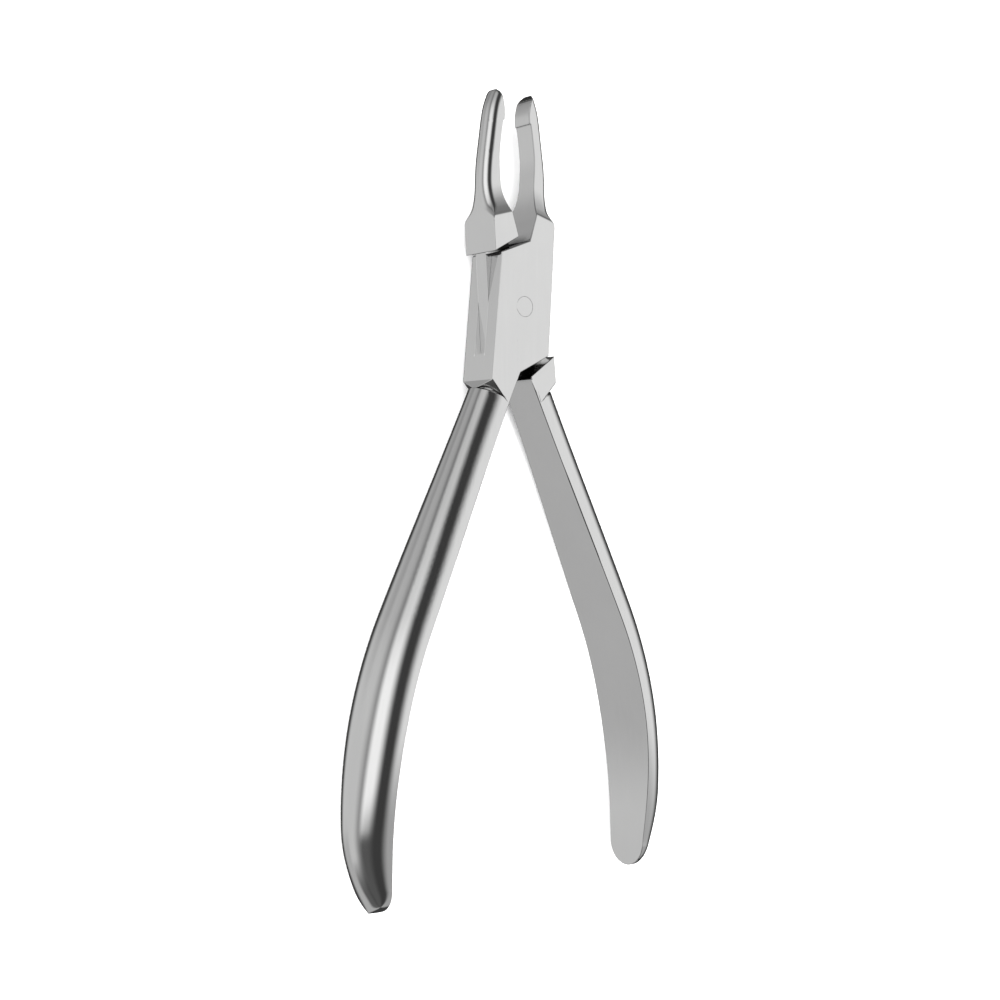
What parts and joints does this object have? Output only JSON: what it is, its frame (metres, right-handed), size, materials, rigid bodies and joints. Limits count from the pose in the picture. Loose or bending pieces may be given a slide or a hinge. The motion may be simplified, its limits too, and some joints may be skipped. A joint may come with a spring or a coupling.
{
  "type": "crimping pliers",
  "caption": "Box-joint crimping pliers in polished steel, with slim curved jaws that end in rounded pads and long bowed handles.",
  "frame": {"origin": "on the pivot's axis, at the joint's flat back face", "axes": "+Y towards the jaws, along the line that halves the opening; +Z out of the front face, along the pivot; the pliers lie flat with the handles towards -Y"},
  "size_m": [0.0682, 0.1393, 0.0128],
  "materials": {
    "polished_steel": "fine satin polish",
    "ground_steel": "ground flush with the joint"
  },
  "bodies": {
    "box": {"box_half": "polished_steel", "pivot_pin": "ground_steel"},
    "tongue": {"tongue_half": "polished_steel"}
  },
  "joints": [
    {"name": "pivot", "type": "hinge", "parent": "box", "child": "tongue", "pos_m": [0, 0, 0.0042], "axis": [0, 0, 1], "range_deg": [-8.8, 16]}
  ]
}
